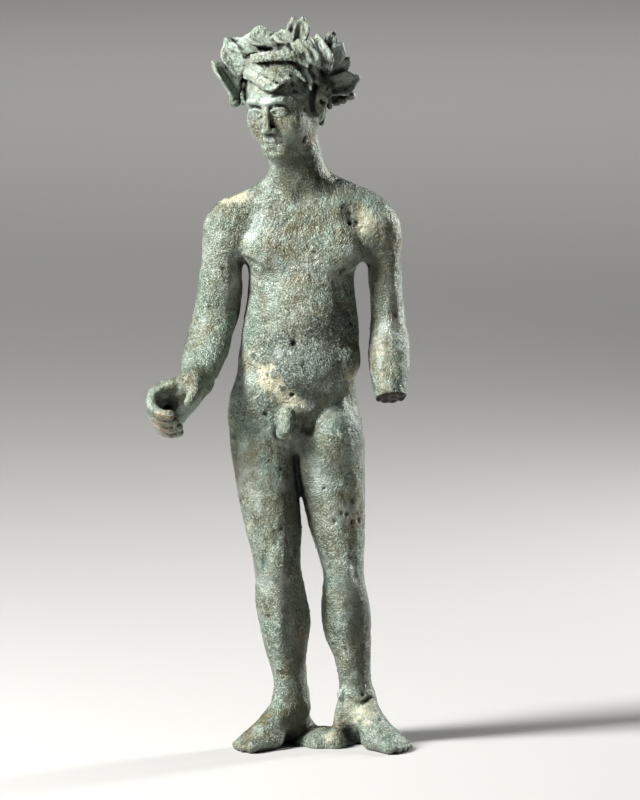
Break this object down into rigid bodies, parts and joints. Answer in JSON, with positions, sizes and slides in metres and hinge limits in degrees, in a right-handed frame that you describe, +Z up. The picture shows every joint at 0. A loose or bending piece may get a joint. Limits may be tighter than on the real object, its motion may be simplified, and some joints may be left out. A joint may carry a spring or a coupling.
{
  "type": "bronze statuette of a wreathed nude youth",
  "caption": "Solid-cast bronze statuette of a standing nude youth in a leafy wreath, one hand curled round an empty grip, the other forearm broken off.",
  "frame": {"origin": "on the ground plane under the figure, in the flat underside of the metal between the heels", "axes": "+Z up, the front of the body towards -Y, the figure's own left towards +X"},
  "size_m": [0.0666, 0.0383, 0.1841],
  "materials": {
    "patinated_bronze": "corroded grey-green patina with a low sheen"
  },
  "bodies": {
    "root": {"bronze_figure": "patinated_bronze"}
  },
  "joints": []
}
